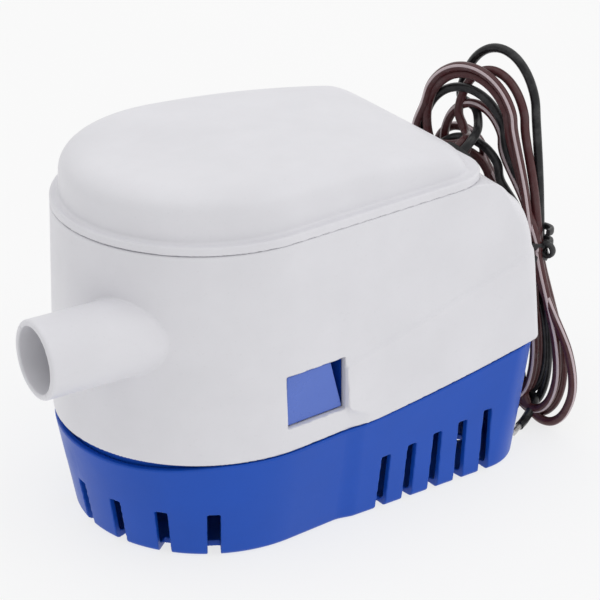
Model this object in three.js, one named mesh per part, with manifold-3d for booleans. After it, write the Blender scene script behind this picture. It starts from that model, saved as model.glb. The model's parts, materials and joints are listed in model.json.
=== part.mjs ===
// Automatic submersible bilge pump: a white housing with a hose spigot, a clipped-on cap, a blue
// strainer base, a 12 V motor in a dry well, a centrifugal impeller below it, and a float switch behind.
// Millimetres, +Z up. The design is drawn about the motor's axis, with the outlet towards -X, and the
// whole group is shifted at the end so that the pump's box is centred on the origin.

import * as THREE from 'three';
import { mergeVertices } from 'three/addons/utils/BufferGeometryUtils.js';
import Module from 'manifold-3d';

const wasm = await Module();
wasm.setup();

// ---------------------------------------------------------------------------------------------
// Driving dimensions
// ---------------------------------------------------------------------------------------------

const GAP = 0.3;                       // clearance kept between neighbouring solids
const WALL = 2.6;                      // moulded wall thickness
const TAPER = THREE.MathUtils.degToRad(5.4);   // each side closes in by this angle to the rear

// Housing: radii are those of the front arc, and the sides are tangent to it.
const RIM_RADIUS = 57.5;               // at RIM_HEIGHT
const RIM_HEIGHT = 43.6;
const DECK_RADIUS = 55.1;              // at DECK_TOP
const DECK_TOP = 121.1;
const DECK_UNDERSIDE = DECK_TOP - 2.7;
const REAR_AT_RIM = 124.0;             // rear wall's distance behind the motor's axis
const REAR_AT_DECK = 122.6;
const REAR_CORNER = { rim: 6.2, deck: 15 };
const ROOF_RADIUS = 37;                // sloping roof behind the cap, an arc in side view
const ROOF_CENTRE = { x: 86.5, z: 84 };
const FLARE_RADIUS = 59.6;             // the skirt leans out to this at the rim
const FLARE_START = 26.4;
const RIDGE = { start: 62.5, slope: 0.212 };   // height where the skirt starts to lean out, against x

// Outlet spigot, for a 1-1/8 inch hose.
const SPIGOT = { y: -26.4, z: 88, mouth: -82.9, radius: 14.3, lip: 0.8, bore: 12 };

// Cap
const CAP_FLANGE_TOP = 124.4;
const CAP_RADIUS = 51.6;
const CAP_REAR = 96;
const CAP_FLANGE_REAR = 98.5;
const CAP_CORNER = 18;
const CAP_CREST = 141.5;

// Strainer base
const BASE_RADIUS = { bottom: 50.7, top: 58.2 };
const BASE_REAR_RADIUS = { bottom: 50.5, top: 59.2 };
const BASE_REAR_TAPER = THREE.MathUtils.degToRad(1.4);   // at the bottom, where the sides close in less
const BASE_CORNER = { bottom: 20, top: 16.5 };
const BASE_REAR = { bottom: 118.6, top: 123.6 };
const BASE_TOP = 42.5;                 // where the radii above hold
const BASE_WALL = 2.4;
const BASE_FLOOR = 2.6;
const BASE_JOG = 30;                   // the rear section stands proud from here back
const SLOT_WIDTH = 4;
const SIDE_SLOTS = { count: 5, first: 41, pitch: 12.27, top: 24, rise: 0.08 };
const FRONT_SLOTS = { count: 7, pitch: THREE.MathUtils.degToRad(20.6), top: 19 };
const REAR_SLOTS = { count: 3, pitch: 14, top: 27 };
const BASE_SCREW_HOLE = 2.4;

// Latch windows and tabs, in the side wall's own plane: s runs along it, c out of it.
const WINDOW = { s0: -5.3, s1: 20.7, z0: 51, z1: 71.4 };
const POCKET = { s0: -7.5, s1: 22.6, c0: 46.5, c1: 54.2, top: 74 };
const TAB = { face: 55.6, back: 51.2, legFace: 53.2, root: 47.1 };

// Motor and pump
const WELL = { bore: 19, outer: 21.6, floor: 61.5, underside: 56.5 };
const MOTOR = { radius: 18.5, wall: 1.2, bottom: 62, top: 106, bellTop: 110.3 };
const SHAFT_RADIUS = 2;
const BEARING_RADIUS = 4;
const IMPELLER = { radius: 23, bottom: 47, shroud: 54, top: 56, hub: 5.5, vanes: 5 };
const FLOOR_PLATE = { bottom: 43.5, top: 46.1, eye: 13 };
const SCREW = { head: 3.2, shank: 1.5, hole: 1.8, length: 12.8 };
const SCREW_PLACES = [[-35.7, -35.7], [-35.7, 35.7], [43, -27], [43, 27]];

// Float bay and electronics bay
const BULKHEAD = { front: 47, rear: 49.4 };
const BAY_CEILING = 88;
const SHELF_TOP = BAY_CEILING + WALL;
const PIVOT = { x: 56, z: 60, radius: 2, half: 29.2 };
const FLOAT = { front: 62, rear: 108, half: 30, bottom: 34, top: 58, round: 5 };

// Wires and their hank
const WIRE = 3.6;
// The hank stands in an upright plane through this point, turned from the rear wall by an angle.
const HANK = { x: 141.7, y: -30, turn: THREE.MathUtils.degToRad(18), thickness: 12.5 };
const GROMMET = { bore: 4.7, body: 6.5, flange: 7.8, nose: 41.5 };   // nose is from the roof arc's centre

const COLOURS = {
  white: [0xdedde2, 0.45, 0],
  blue: [0x3a5cb8, 0.42, 0],
  tabBlue: [0x5a76cc, 0.4, 0],
  rubber: [0x1c1c1e, 0.8, 0],
  steel: [0xb9bcc0, 0.35, 1],
  zinc: [0x9fa3a8, 0.45, 1],
  ferrite: [0x3b3b3e, 0.75, 0],
  bronze: [0x9a6f3e, 0.5, 1],
  copper: [0xb06a35, 0.4, 1],
  carbon: [0x2a2a2b, 0.7, 0],
  lamination: [0x7c7f84, 0.5, 1],
  board: [0x1f6b3a, 0.5, 0],
  glass: [0xbfd6d2, 0.1, 0],
  black: [0x19191b, 0.35, 0],
  brown: [0x4b2c2c, 0.35, 0],
  float: [0xd9d9d6, 0.55, 0],
  tin: [0xc9ccd0, 0.3, 1],
};

// ---------------------------------------------------------------------------------------------
// Solids: closed geometries, and cutting and joining them
// ---------------------------------------------------------------------------------------------

function signedVolume(positions, index) {
  const a = new THREE.Vector3();
  const b = new THREE.Vector3();
  const c = new THREE.Vector3();
  let volume = 0;
  for (let i = 0; i < index.length; i += 3) {
    a.fromBufferAttribute(positions, index[i]);
    b.fromBufferAttribute(positions, index[i + 1]);
    c.fromBufferAttribute(positions, index[i + 2]);
    volume += a.dot(b.cross(c)) / 6;
  }
  return volume;
}

// Shares the vertices of a geometry, drops collapsed triangles and faces it outwards.
function closed(geometry) {
  const bare = geometry.clone();
  bare.deleteAttribute('normal');
  bare.deleteAttribute('uv');
  const merged = mergeVertices(bare, 1e-4);
  const source = Array.from(merged.index.array);
  let index = [];
  for (let i = 0; i < source.length; i += 3) {
    const [a, b, c] = source.slice(i, i + 3);
    if (a !== b && b !== c && c !== a) index.push(a, b, c);
  }
  if (signedVolume(merged.attributes.position, index) < 0) index = index.reverse();
  merged.setIndex(index);
  return merged;
}

function toSolid(geometry) {
  const shared = closed(geometry);
  return new wasm.Manifold(new wasm.Mesh({
    numProp: 3,
    vertProperties: new Float32Array(shared.attributes.position.array),
    triVerts: new Uint32Array(shared.index.array),
  }));
}

function toGeometry(manifold) {
  const mesh = manifold.getMesh();
  const geometry = new THREE.BufferGeometry();
  geometry.setAttribute('position', new THREE.BufferAttribute(mesh.vertProperties, 3));
  geometry.setIndex(new THREE.BufferAttribute(mesh.triVerts, 1));
  return closed(geometry);
}

function join(...geometries) {
  return toGeometry(geometries.map(toSolid).reduce((whole, next) => whole.add(next)));
}

function cut(body, ...tools) {
  return toGeometry(tools.map(toSolid).reduce((whole, next) => whole.subtract(next), toSolid(body)));
}

function common(first, second) {
  return toGeometry(toSolid(first).intersect(toSolid(second)));
}

// ---------------------------------------------------------------------------------------------
// Basic shapes
// ---------------------------------------------------------------------------------------------

function box(x0, x1, y0, y1, z0, z1) {
  return new THREE.BoxGeometry(x1 - x0, y1 - y0, z1 - z0)
    .translate((x0 + x1) / 2, (y0 + y1) / 2, (z0 + z1) / 2);
}

// An upright round bar.
function post(radius, z0, z1, x = 0, y = 0, sides = 24) {
  return new THREE.CylinderGeometry(radius, radius, z1 - z0, sides)
    .rotateX(Math.PI / 2)
    .translate(x, y, (z0 + z1) / 2);
}

// A round bar along X or Y.
function barX(radius, x0, x1, y, z, sides = 32) {
  return new THREE.CylinderGeometry(radius, radius, x1 - x0, sides)
    .rotateZ(Math.PI / 2)
    .translate((x0 + x1) / 2, y, z);
}

function barY(radius, y0, y1, x, z, sides = 20) {
  return new THREE.CylinderGeometry(radius, radius, y1 - y0, sides)
    .translate(x, (y0 + y1) / 2, z);
}

// Turns a profile of [radius, height] points, which closes on itself, about the Z axis.
function turned(profile, sides = 28, start = 0, sweep = 2 * Math.PI) {
  const points = [...profile, profile[0]].map(([r, z]) => new THREE.Vector2(r, z));
  return new THREE.LatheGeometry(points, sides, start, sweep).rotateX(Math.PI / 2);
}

function tube(inner, outer, z0, z1, sides = 28) {
  return turned([[inner, z0], [outer, z0], [outer, z1], [inner, z1]], sides);
}

// An upright slab of a plan outline.
function slab(outline, z0, z1) {
  return new THREE.ExtrudeGeometry(new THREE.Shape(outline), { depth: z1 - z0, bevelEnabled: false })
    .translate(0, 0, z0);
}

// A slab of a side-view outline of [x, z] points, centred on y = 0.
function sideSlab(outline, width, y = 0) {
  const shape = new THREE.Shape(outline.map(([x, z]) => new THREE.Vector2(x, z)));
  return new THREE.ExtrudeGeometry(shape, { depth: width, bevelEnabled: false })
    .rotateX(Math.PI / 2)
    .translate(0, y + width / 2, 0);
}

// A skin through closed rings of points, with flat ends.
function loft(rings) {
  const count = rings[0].length;
  const geometry = new THREE.BufferGeometry();
  geometry.setFromPoints(rings.flat());
  const index = [];
  for (let level = 0; level < rings.length - 1; level += 1) {
    for (let i = 0; i < count; i += 1) {
      const a = level * count + i;
      const b = level * count + ((i + 1) % count);
      index.push(a, b, b + count, a, b + count, a + count);
    }
  }
  const last = (rings.length - 1) * count;
  const plan = rings[0].map((point) => new THREE.Vector2(point.x, point.y));
  for (const [a, b, c] of THREE.ShapeUtils.triangulateShape(plan, [])) {
    index.push(a, c, b, last + a, last + b, last + c);
  }
  geometry.setIndex(index);
  return geometry;
}

function mirrored(geometry) {
  return closed(geometry.clone().scale(1, -1, 1));
}

// A geometry drawn in the near side wall's plane, with s along X and c along -Y, put in its place.
function onSide(geometry) {
  return geometry.rotateZ(TAPER);
}

function bothSides(geometry) {
  return [geometry, mirrored(geometry)];
}

// A round section swept along a smooth curve through the given points.
function wireTube(points, steps, radius = WIRE / 2) {
  const path = new THREE.CatmullRomCurve3(points.map(([x, y, z]) => new THREE.Vector3(x, y, z)));
  const section = new THREE.Shape();
  const sides = 8;
  for (let i = 0; i < sides; i += 1) {
    const angle = (2 * Math.PI * i) / sides;
    section[i === 0 ? 'moveTo' : 'lineTo'](radius * Math.cos(angle), radius * Math.sin(angle));
  }
  section.closePath();
  return new THREE.ExtrudeGeometry(section, { steps, bevelEnabled: false, extrudePath: path });
}

// ---------------------------------------------------------------------------------------------
// Plan and side outlines
// ---------------------------------------------------------------------------------------------

// A front arc about the motor's axis, two sides that close in to the rear, and round rear corners.
function teardrop(radius, rear, corner, taper = TAPER) {
  const arcSteps = 22;
  const sideAngle = Math.PI / 2 - taper;
  const centreX = rear - corner;
  const centreY = (radius - corner - Math.sin(taper) * centreX) / Math.cos(taper);
  const points = [];
  const cornerSteps = 5;
  for (let i = 0; i <= cornerSteps; i += 1) {
    const angle = -sideAngle * (1 - i / cornerSteps);
    points.push(new THREE.Vector2(centreX + corner * Math.cos(angle), -centreY + corner * Math.sin(angle)));
  }
  for (let i = 0; i <= cornerSteps; i += 1) {
    const angle = (sideAngle * i) / cornerSteps;
    points.push(new THREE.Vector2(centreX + corner * Math.cos(angle), centreY + corner * Math.sin(angle)));
  }
  for (let i = 0; i <= arcSteps; i += 1) {
    const angle = sideAngle + ((2 * Math.PI - 2 * sideAngle) * i) / arcSteps;
    points.push(new THREE.Vector2(radius * Math.cos(angle), radius * Math.sin(angle)));
  }
  return points;
}

// One level of a lofted body. height is a number, or a function of x for a sloping level.
function level(outline, height) {
  const heightAt = typeof height === 'function' ? height : () => height;
  return outline.map(({ x, y }) => new THREE.Vector3(x, y, heightAt(x)));
}

// The rim rises gently to the window, and more and more behind it.
function rimHeight(x) {
  const behind = Math.max(x - FLARE_START, 0);
  return 42.3 + 0.018 * (x - FLARE_START) + behind * (0.037 + 0.0005 * behind);
}

const ridgeHeight = (x) => RIDGE.start + RIDGE.slope * x;
const blendAt = (z) => (z - RIM_HEIGHT) / (DECK_TOP - RIM_HEIGHT);
const housingRadius = (z) => THREE.MathUtils.lerp(RIM_RADIUS, DECK_RADIUS, blendAt(z));
const housingRear = (z) => THREE.MathUtils.lerp(REAR_AT_RIM, REAR_AT_DECK, blendAt(z));
const housingCorner = (z) => THREE.MathUtils.lerp(REAR_CORNER.rim, REAR_CORNER.deck, blendAt(z));

function housingPrism(inset, z0, z1) {
  return loft([z0, z1].map((z) => level(
    teardrop(housingRadius(z) - inset, housingRear(z) - inset, housingCorner(z) - inset),
    z,
  )));
}

function curveAlongX(height, x0, x1, steps) {
  return Array.from({ length: steps + 1 }, (_, i) => {
    const x = THREE.MathUtils.lerp(x0, x1, i / steps);
    return [x, height(x)];
  });
}

// The roof's arc in side view, from the rear wall up to the deck.
function roofArc(radius) {
  const steps = 8;
  return Array.from({ length: steps + 1 }, (_, i) => {
    const angle = ((Math.PI / 2) * i) / steps;
    return [ROOF_CENTRE.x + radius * Math.cos(angle), ROOF_CENTRE.z + radius * Math.sin(angle)];
  });
}

// ---------------------------------------------------------------------------------------------
// Housing
// ---------------------------------------------------------------------------------------------

function housingShell() {
  const lowerEdge = curveAlongX(rimHeight, -70, 140, 10);
  const rear = [[140, ROOF_CENTRE.z]];
  const roof = roofArc(ROOF_RADIUS);
  const outline = [...lowerEdge, ...rear, ...roof, [-70, DECK_TOP]];
  return common(housingPrism(0, 30, DECK_TOP + 4), sideSlab(outline, 150));
}

// The skirt that leans out below the ridge, behind the latch window.
function housingFlare() {
  const foot = teardrop(FLARE_RADIUS, REAR_AT_RIM + 0.8, REAR_CORNER.rim + 1);
  const top = teardrop(housingRadius(70) - 0.5, housingRear(80) - 0.3, housingCorner(80));
  const below = (x) => rimHeight(x) - 8;
  const lean = loft([level(foot, below), level(foot, rimHeight), level(top, ridgeHeight)]);
  const outline = [...curveAlongX(rimHeight, FLARE_START, 140, 8), [140, 110], [FLARE_START, 110]];
  return common(lean, sideSlab(outline, 150));
}

function spigotBar() {
  const { y, z, mouth, radius, lip } = SPIGOT;
  const length = -38 - mouth;
  const profile = [[0, 0], [radius - lip, 0], [radius, lip], [radius, length], [0, length]];
  const points = profile.map(([r, along]) => new THREE.Vector2(r, along));
  return new THREE.LatheGeometry(points, 32).rotateZ(-Math.PI / 2).translate(mouth, y, z);
}

// The wall that keeps the water jacket off a latch pocket.
function pocketWall() {
  const { s0, s1, c0, top } = POCKET;
  const t = 2;
  return onSide(box(s0 - t, s1 + t, -(POCKET.c1 + 1), -(c0 - t), 20, top + t));
}

function pocketSpace() {
  const { s0, s1, c0, c1, top } = POCKET;
  return onSide(box(s0, s1, -c1, -c0, 20, top));
}

function windowCut() {
  const { s0, s1, z0, z1 } = WINDOW;
  return onSide(box(s0, s1, -70, -(POCKET.c0 + 2), z0, z1));
}

function screwBoss([x, y]) {
  return post(5, FLOOR_PLATE.top + GAP, 62, x, y, 16);
}

// The water jacket round the motor well, open below and closed by the deck.
function waterJacket() {
  const space = common(
    housingPrism(WALL, 20, DECK_UNDERSIDE),
    box(-80, BULKHEAD.front, -80, 80, 10, 200),
  );
  return cut(
    space,
    post(WELL.outer, WELL.underside, 130, 0, 0, 36),
    ...bothSides(pocketWall()),
    ...SCREW_PLACES.map(screwBoss),
  );
}

function pinLug(side) {
  const y0 = side > 0 ? 26 : -29.6;
  return box(BULKHEAD.front, PIVOT.x + 5, y0, y0 + 3.6, PIVOT.z - 4.5, PIVOT.z + 4.5);
}

function floatBay() {
  const space = common(
    housingPrism(WALL, 20, BAY_CEILING),
    box(BULKHEAD.rear, 200, -80, 80, 10, 200),
  );
  return cut(space, pinLug(-1), pinLug(1));
}

// The dry bay over the float bay, under the sloping roof.
function electronicsBay() {
  const roof = roofArc(ROOF_RADIUS - WALL).filter(([, z]) => z <= DECK_UNDERSIDE && z > SHELF_TOP);
  const outline = [[BULKHEAD.rear, SHELF_TOP], [roof[0][0] + 0.6, SHELF_TOP], ...roof,
    [ROOF_CENTRE.x, DECK_UNDERSIDE], [BULKHEAD.rear, DECK_UNDERSIDE]];
  return common(housingPrism(WALL, 60, DECK_TOP), sideSlab(outline, 150));
}

function gasketGroove(clear) {
  const outer = slab(teardrop(51.4 + clear, 94.6 + clear, CAP_CORNER), 119.7 - clear, 124);
  const inner = slab(teardrop(49.4 - clear, 92.6 - clear, CAP_CORNER - 2), 118, 125);
  return cut(outer, inner);
}

// Puts a geometry drawn along +Z from the roof arc's centre on the roof, at 45 degrees.
function onRoof(geometry) {
  return geometry.rotateY(Math.PI / 4).translate(ROOF_CENTRE.x, 0, ROOF_CENTRE.z);
}

function mainHousing() {
  const { y, z, mouth, bore } = SPIGOT;
  return cut(
    join(housingShell(), housingFlare(), spigotBar()),
    waterJacket(),
    floatBay(),
    electronicsBay(),
    barX(bore, mouth - 1, -32, y, z),
    post(WELL.bore, WELL.floor, 130, 0, 0, 36),
    post(6.3, 57.8, 70),
    post(2.5, 50, 60),
    ...bothSides(pocketSpace()),
    ...bothSides(windowCut()),
    ...SCREW_PLACES.map(([px, py]) => post(SCREW.hole, 40, 57.5, px, py, 12)),
    barY(PIVOT.radius + GAP, -29.3, 29.3, PIVOT.x, PIVOT.z),
    gasketGroove(GAP),
    box(62, 84, -15, 15, 110, 130),
    onRoof(post(GROMMET.body + GAP, 25, 45, 0, 0, 24)),
  );
}

// ---------------------------------------------------------------------------------------------
// Cap and gasket
// ---------------------------------------------------------------------------------------------

// The cap's crest falls away gently to the rear and rolls over at its end.
function crestHeight(x) {
  const fall = x > 10 ? 0.0011 * (x - 10) ** 2 : 0.0004 * (x - 10) ** 2;
  const roll = 18;
  const past = Math.min(Math.max(x - (CAP_REAR - roll), 0), roll - 0.01);
  return CAP_CREST - fall - (roll - Math.sqrt(roll * roll - past * past));
}

// The domed part of the cap: insets from the wall paired with the drop below the crest.
function capDome(inset, bottom) {
  const shoulder = [[0, 9], [0.7, 5], [2.6, 2.2], [6.5, 0.6], [13, 0]];
  const rows = [level(teardrop(CAP_RADIUS - inset, CAP_REAR - inset, CAP_CORNER - inset), bottom)];
  for (const [inward, drop] of shoulder) {
    const outline = teardrop(CAP_RADIUS - inset - inward, CAP_REAR - inset - inward, CAP_CORNER - inset);
    const least = bottom + 0.4 + (9 - drop) * 0.05;
    rows.push(level(outline, (x) => Math.max(crestHeight(x) - drop - inset, least)));
  }
  return loft(rows);
}

function topCap() {
  const flange = slab(teardrop(DECK_RADIUS, CAP_FLANGE_REAR, CAP_CORNER), DECK_TOP + GAP, CAP_FLANGE_TOP);
  const hollow = capDome(WALL, DECK_TOP - 3);
  return cut(join(flange, capDome(0, CAP_FLANGE_TOP - 1)), hollow);
}

function capGasket() {
  return common(gasketGroove(0), box(-80, 140, -80, 80, 110, DECK_TOP));
}

// ---------------------------------------------------------------------------------------------
// Strainer base and its latch tabs
// ---------------------------------------------------------------------------------------------

// One drafted section of the base with a rounded lower edge.
function baseSection(radii, tapers, inset, floor) {
  const at = (pair, z) => THREE.MathUtils.lerp(pair.bottom, pair.top, z / BASE_TOP);
  const row = (z, tuck) => level(teardrop(
    at(radii, z) - inset - tuck,
    at(BASE_REAR, z) - inset - tuck,
    at(BASE_CORNER, z) - inset,
    at(tapers, z),
  ), z);
  const rounding = [[0, 1.6], [0.8, 0.5], [2.6, 0]];
  return loft([...rounding.map(([rise, tuck]) => row(floor + rise, tuck)), row(60, 0)]);
}

// The base's two sections: a drafted body, and a prouder section behind the jog.
function baseBlock(inset, floor) {
  const rearSection = common(
    baseSection(BASE_REAR_RADIUS, { bottom: BASE_REAR_TAPER, top: TAPER }, inset, floor),
    box(BASE_JOG + inset, 140, -80, 80, -5, 70),
  );
  return join(baseSection(BASE_RADIUS, { bottom: TAPER, top: TAPER }, inset, floor), rearSection);
}

// The base's upper edge: just under the rim, and lower at the front, which leaves a shadow gap.
function baseEdge() {
  const dip = (x) => 3.2 * THREE.MathUtils.smoothstep(-x, 20, 55);
  return curveAlongX((x) => rimHeight(x) - 0.5 - dip(x), -70, 140, 14);
}

function sideSlot(number) {
  const { first, pitch, top, rise } = SIDE_SLOTS;
  const s = first + number * pitch;
  const half = SLOT_WIDTH / 2;
  return onSide(box(s - half, s + half, -66, -48.5, -2, top + rise * number * pitch));
}

function frontSlot(number) {
  const angle = Math.PI + (number - (FRONT_SLOTS.count - 1) / 2) * FRONT_SLOTS.pitch;
  return box(44, 66, -SLOT_WIDTH / 2, SLOT_WIDTH / 2, -2, FRONT_SLOTS.top).rotateZ(angle);
}

function rearSlot(number) {
  const y = (number - (REAR_SLOTS.count - 1) / 2) * REAR_SLOTS.pitch;
  return box(110, 130, y - SLOT_WIDTH / 2, y + SLOT_WIDTH / 2, -2, REAR_SLOTS.top);
}

function latchTongue() {
  const { s0, s1 } = POCKET;
  const low = box(s0 + 1, s1 - 1, -55.2, -50.6, 31, 39);
  const high = box(s0 + 1, s1 - 1, -53.4, -50.6, 31, TAB.root - GAP);
  return onSide(join(low, high));
}

const BASE_SCREWS = [[-34, 0], [-6, -34], [-6, 34], [100, -24], [100, 24]];
const FLOAT_STOPS = [[98, -16], [98, 16]];

function strainerBase() {
  const side = sideSlab([[-70, -5], [140, -5], ...baseEdge().reverse()], 150);
  const block = common(baseBlock(0, 0), side);
  const count = (n) => Array.from({ length: n }, (_, i) => i);
  const shell = cut(
    block,
    baseBlock(BASE_WALL, BASE_FLOOR),
    ...count(SIDE_SLOTS.count).flatMap((i) => bothSides(sideSlot(i))),
    ...count(FRONT_SLOTS.count).map(frontSlot),
    ...count(REAR_SLOTS.count).map(rearSlot),
    ...BASE_SCREWS.map(([x, y]) => post(BASE_SCREW_HOLE, -1, 5, x, y, 16)),
  );
  const stops = FLOAT_STOPS.map(([x, y]) => post(3, BASE_FLOOR - 0.5, FLOAT.bottom - GAP, x, y, 16));
  return join(shell, ...stops, ...bothSides(latchTongue()));
}

// A sprung tab whose pad stands in the latch window and leaves a slanted gap at its rear edge.
function latchTab() {
  const { s0, s1, z0, z1 } = WINDOW;
  const pad = [[s0 + 0.5, z0 + 0.5], [s1 - 0.5, z0 + 0.5], [s1 - 5.4, z1 - 0.5], [s0 + 0.5, z1 - 0.5]];
  const padPlate = sideSlab(pad, TAB.face - TAB.back, -(TAB.face + TAB.back) / 2);
  const leg = box(s0 + 1.8, s1 - 2.5, -TAB.legFace, -TAB.back, TAB.root, z0 + 1);
  return onSide(join(padPlate, leg));
}

// ---------------------------------------------------------------------------------------------
// Pump: floor plate, screws, impeller and its nut
// ---------------------------------------------------------------------------------------------

function volutePlate() {
  const { bottom, top, eye } = FLOOR_PLATE;
  const plate = common(
    housingPrism(WALL + GAP, bottom, top),
    box(-80, BULKHEAD.front - GAP, -80, 80, 0, 100),
  );
  const { s0, s1, c0 } = POCKET;
  const notch = onSide(box(s0 - 2 - GAP, s1 + 2 + GAP, -80, -(c0 - 2 - GAP), 30, 60));
  return cut(
    plate,
    ...bothSides(notch),
    post(eye, 30, 60, 0, 0, 32),
    ...SCREW_PLACES.map(([x, y]) => post(SCREW.hole, 30, 60, x, y, 12)),
  );
}

function plateScrew([x, y]) {
  const { head, shank, length } = SCREW;
  const under = FLOOR_PLATE.bottom - GAP;
  const points = [
    [0, under - 2.2], [head - 0.5, under - 2.2], [head, under - 1.2], [head, under],
    [shank, under], [shank, under + length - 1], [0.4, under + length], [0, under + length],
  ];
  return new THREE.LatheGeometry(points.map(([r, z]) => new THREE.Vector2(r, z)), 12)
    .rotateX(Math.PI / 2)
    .translate(x, y, 0);
}

// One backward-curved vane, as a thin arc in plan.
function vane(number) {
  const { radius, hub, bottom, shroud, vanes } = IMPELLER;
  const thickness = 1.6;
  const steps = 6;
  const outer = [];
  const inner = [];
  for (let i = 0; i <= steps; i += 1) {
    const r = THREE.MathUtils.lerp(hub - 1, radius - 0.5, i / steps);
    const angle = (2 * Math.PI * number) / vanes - 0.9 * (i / steps) ** 1.4;
    const across = angle + Math.PI / 2;
    const shift = thickness / 2;
    outer.push(new THREE.Vector2(
      r * Math.cos(angle) + shift * Math.cos(across),
      r * Math.sin(angle) + shift * Math.sin(across),
    ));
    inner.push(new THREE.Vector2(
      r * Math.cos(angle) - shift * Math.cos(across),
      r * Math.sin(angle) - shift * Math.sin(across),
    ));
  }
  return slab([...outer, ...inner.reverse()], bottom, shroud + 0.5);
}

function impellerWheel() {
  const { radius, hub, bottom, shroud, top, vanes } = IMPELLER;
  const wheel = join(
    post(radius, shroud, top, 0, 0, 36),
    post(hub, bottom, top),
    ...Array.from({ length: vanes }, (_, i) => vane(i)),
  );
  return cut(wheel, post(SHAFT_RADIUS + GAP, 40, 60));
}

// ---------------------------------------------------------------------------------------------
// Motor
// ---------------------------------------------------------------------------------------------

function motorCan() {
  const { radius, wall, bottom, top } = MOTOR;
  const hole = BEARING_RADIUS + GAP;
  return turned([
    [hole, bottom], [radius, bottom], [radius, top], [radius - wall, top],
    [radius - wall, bottom + 1.5], [hole + 1.6, bottom + 1.5], [hole + 1.6, bottom + 5], [hole, bottom + 5],
  ], 36);
}

function endBell() {
  const { radius, top, bellTop } = MOTOR;
  const hole = BEARING_RADIUS + GAP;
  return turned([
    [hole, top + GAP], [radius - 0.2, top + GAP], [radius - 0.2, bellTop - 1], [radius - 1.2, bellTop],
    [hole + 2.4, bellTop], [hole + 2.4, bellTop + 1.6], [hole, bellTop + 1.6],
  ], 36);
}

function fieldMagnet(facing) {
  const sweep = THREE.MathUtils.degToRad(124);
  const points = [];
  const steps = 8;
  for (let i = 0; i <= steps; i += 1) {
    const angle = facing - sweep / 2 + (sweep * i) / steps;
    points.push(new THREE.Vector2(16.9 * Math.cos(angle), 16.9 * Math.sin(angle)));
  }
  for (let i = steps; i >= 0; i -= 1) {
    const angle = facing - sweep / 2 + (sweep * i) / steps;
    points.push(new THREE.Vector2(13.7 * Math.cos(angle), 13.7 * Math.sin(angle)));
  }
  return slab(points, 66, 99);
}

// A five-pole lamination: T-shaped poles round a hub.
function poleOutline(grow) {
  const poles = 5;
  const points = [];
  const radius = 13 + grow;
  for (let pole = 0; pole < poles; pole += 1) {
    const middle = (2 * Math.PI * pole) / poles;
    const tip = 0.5;
    const lip = 11.6 - grow;
    const root = 4.6 + grow;
    const half = 2.0 + grow;
    const neck = Math.sqrt(lip * lip - half * half);
    const along = new THREE.Vector2(Math.cos(middle), Math.sin(middle));
    const across = new THREE.Vector2(-along.y, along.x);
    const place = (r, offset) => along.clone().multiplyScalar(r).addScaledVector(across, offset);
    const polar = (r, angle) => new THREE.Vector2(r * Math.cos(angle), r * Math.sin(angle));
    points.push(place(root, -half), place(neck, -half), polar(lip, middle - tip));
    for (let i = 0; i <= 4; i += 1) points.push(polar(radius, middle - tip + (2 * tip * i) / 4));
    points.push(polar(lip, middle + tip), place(neck, half), place(root, half));
  }
  return points;
}

const CORE = { bottom: 71, top: 94 };

function armatureCore() {
  return cut(slab(poleOutline(0), CORE.bottom, CORE.top), post(SHAFT_RADIUS + GAP, 50, 120));
}

function armatureWinding() {
  const { bottom, top } = CORE;
  const wound = turned([
    [3, bottom - 3.2], [10, bottom - 3.2], [11, bottom - 2],
    [11, top + 1.6], [10, top + 2.8], [3, top + 2.8],
  ], 30);
  return cut(wound, slab(poleOutline(GAP), bottom - GAP, top + GAP));
}

function commutatorRing() {
  const bars = 5;
  const ring = tube(SHAFT_RADIUS + GAP, 5, 97.4, 104.6, 30);
  const grooves = Array.from({ length: bars }, (_, i) => box(4.2, 6, -0.25, 0.25, 98.2, 110)
    .rotateZ((2 * Math.PI * i) / bars));
  return cut(ring, ...grooves);
}

function brushBlock(side) {
  const near = 5 + GAP;
  const far = near + 4;
  return side > 0 ? box(near, far, -2, 2, 99, 103) : box(-far, -near, -2, 2, 99, 103);
}

function brushArm(side) {
  const x = 5 + GAP + 4 + GAP;
  const outline = [[x, 98.5], [x + 0.6, 98.5], [x + 0.6, 105.4], [x + 3.6, 105.4], [x + 3.6, 106], [x, 106]];
  const arm = sideSlab(outline, 3.6);
  return side > 0 ? arm : arm.rotateZ(Math.PI);
}

function terminal(side) {
  const y = 11 * side;
  return box(-2.4, 2.4, y - 0.4, y + 0.4, MOTOR.bellTop + GAP, MOTOR.bellTop + 7);
}

// ---------------------------------------------------------------------------------------------
// Float switch
// ---------------------------------------------------------------------------------------------

function floatArm(y) {
  const { x, z } = PIVOT;
  return box(x - 3.6, FLOAT.front + 4, y - 2.2, y + 2.2, z - 4.6, z + 4.4);
}

function floatBody() {
  const { front, rear, half, bottom, top, round } = FLOAT;
  const shape = new THREE.Shape();
  const inner = round * 0.6;
  shape.moveTo(front + round, -half);
  shape.lineTo(rear - round, -half);
  shape.absarc(rear - round, -half + round, round, -Math.PI / 2, 0, false);
  shape.absarc(rear - round, half - round, round, 0, Math.PI / 2, false);
  shape.absarc(front + round, half - round, round, Math.PI / 2, Math.PI, false);
  shape.absarc(front + round, -half + round, round, Math.PI, 1.5 * Math.PI, false);
  const block = new THREE.ExtrudeGeometry(shape, {
    depth: top - bottom - 2 * inner,
    curveSegments: 4,
    bevelEnabled: true,
    bevelSize: 2,
    bevelThickness: inner,
    bevelOffset: -2,
    bevelSegments: 2,
  }).translate(0, 0, bottom + inner);
  return cut(
    join(block, floatArm(-22.6), floatArm(22.6)),
    barY(PIVOT.radius + GAP, -40, 40, PIVOT.x, PIVOT.z),
    post(4 + GAP, top - 5, top + 10, 84, 0, 20),
  );
}

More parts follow.
